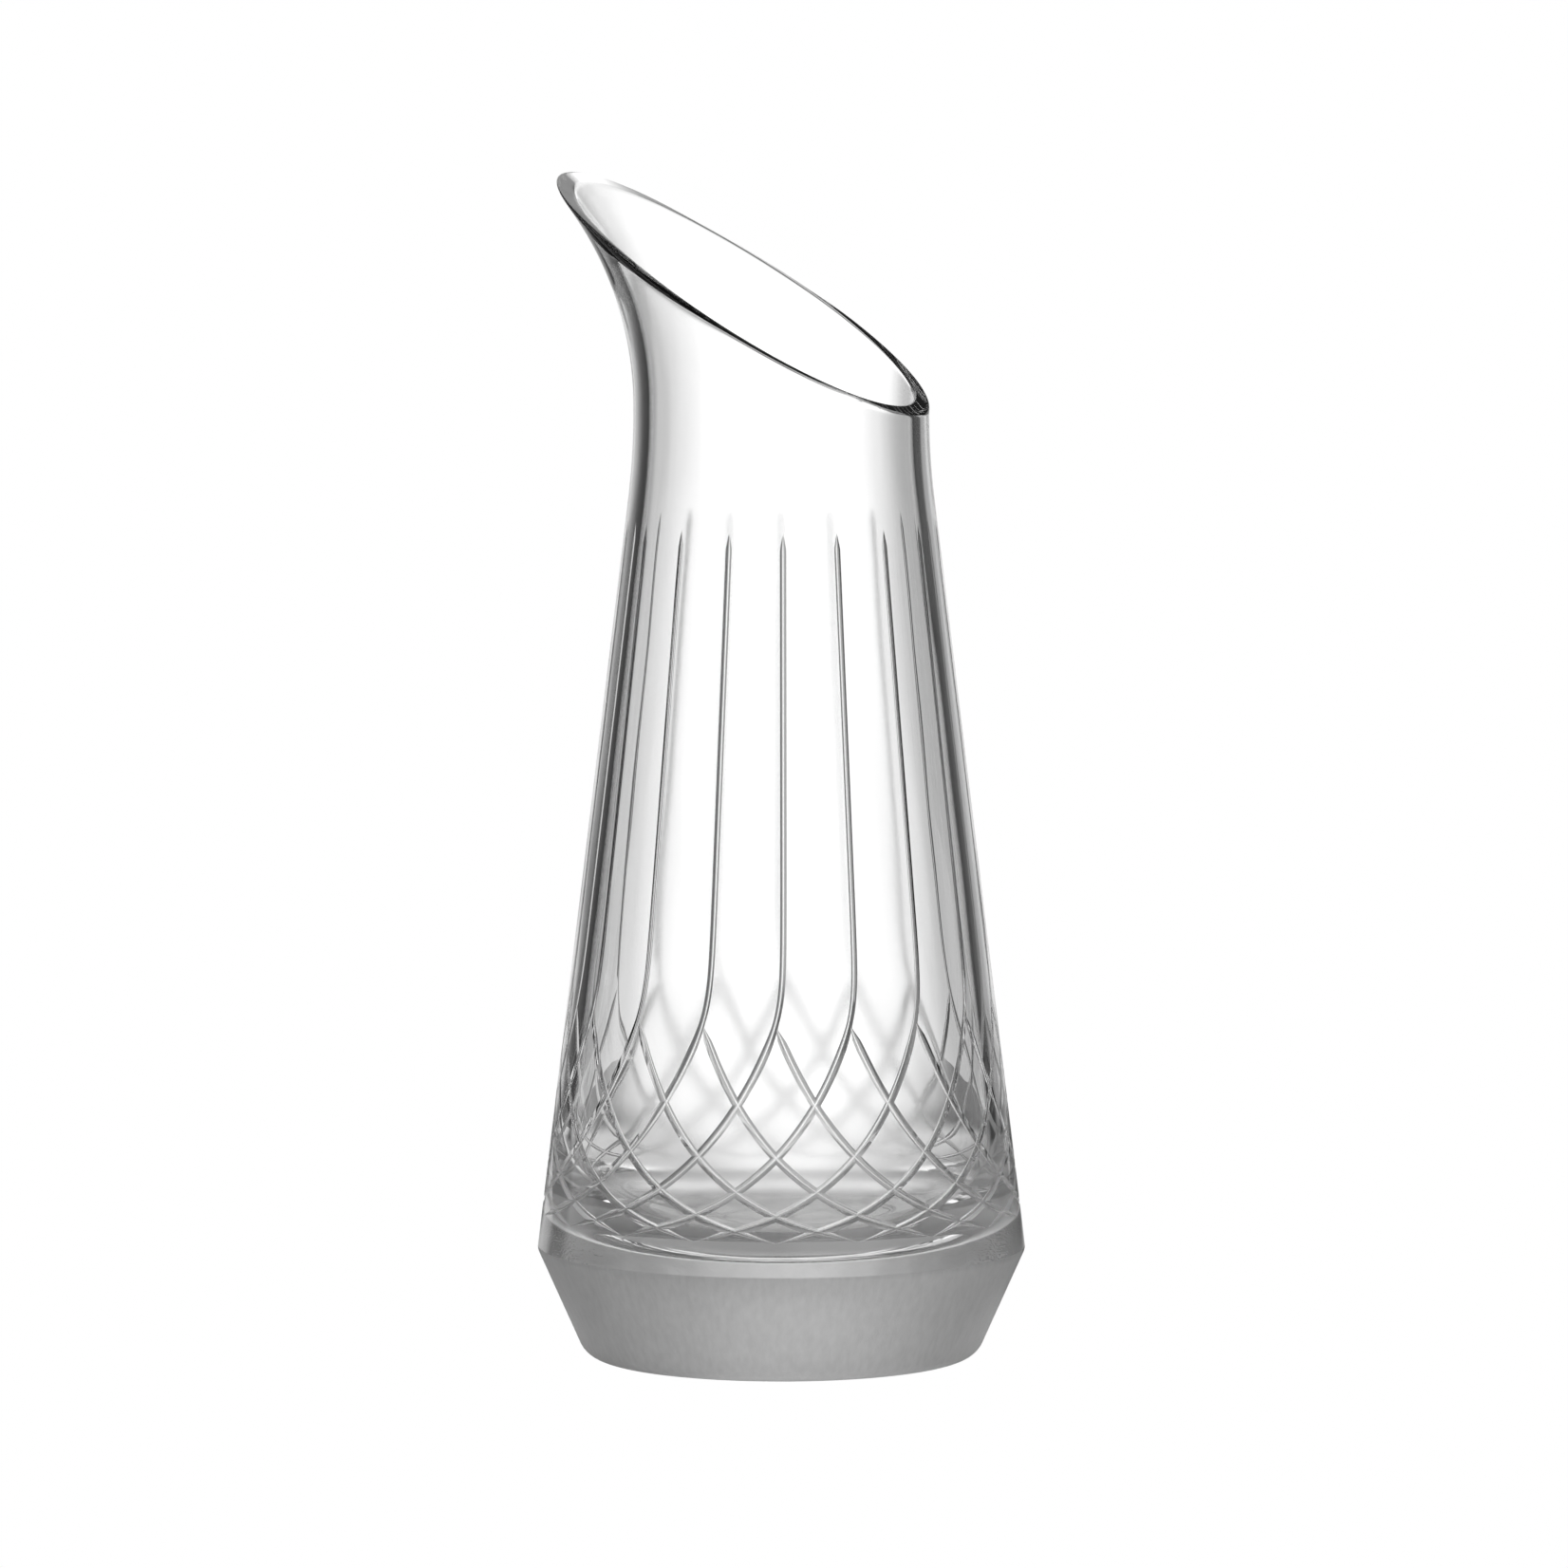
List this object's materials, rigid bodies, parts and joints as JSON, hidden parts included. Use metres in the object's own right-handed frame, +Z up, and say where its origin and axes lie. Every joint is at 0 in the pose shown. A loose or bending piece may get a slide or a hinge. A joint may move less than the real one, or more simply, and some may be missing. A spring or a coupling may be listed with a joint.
{
  "type": "wine decanter",
  "caption": "Open cut-crystal wine carafe: flared slanted pouring mouth, plain neck, conical body cut with wedge flutes that cross into a diamond lattice, thick satin foot.",
  "frame": {"origin": "centre of the flat base, on the body's axis", "axes": "+Z up along the body's axis; the spout points along -X; +Y to the spout's right when it is seen from above with the spout pointing away"},
  "size_m": [0.1132, 0.1132, 0.2737],
  "materials": {
    "satin_crystal": "sandblasted satin outside, solid clear glass within",
    "cut_crystal": "polished, with polished wedge cuts",
    "clear_crystal": "fire-polished"
  },
  "bodies": {
    "root": {"foot": "satin_crystal", "body": "cut_crystal", "neck": "clear_crystal", "lip": "clear_crystal"}
  },
  "joints": []
}
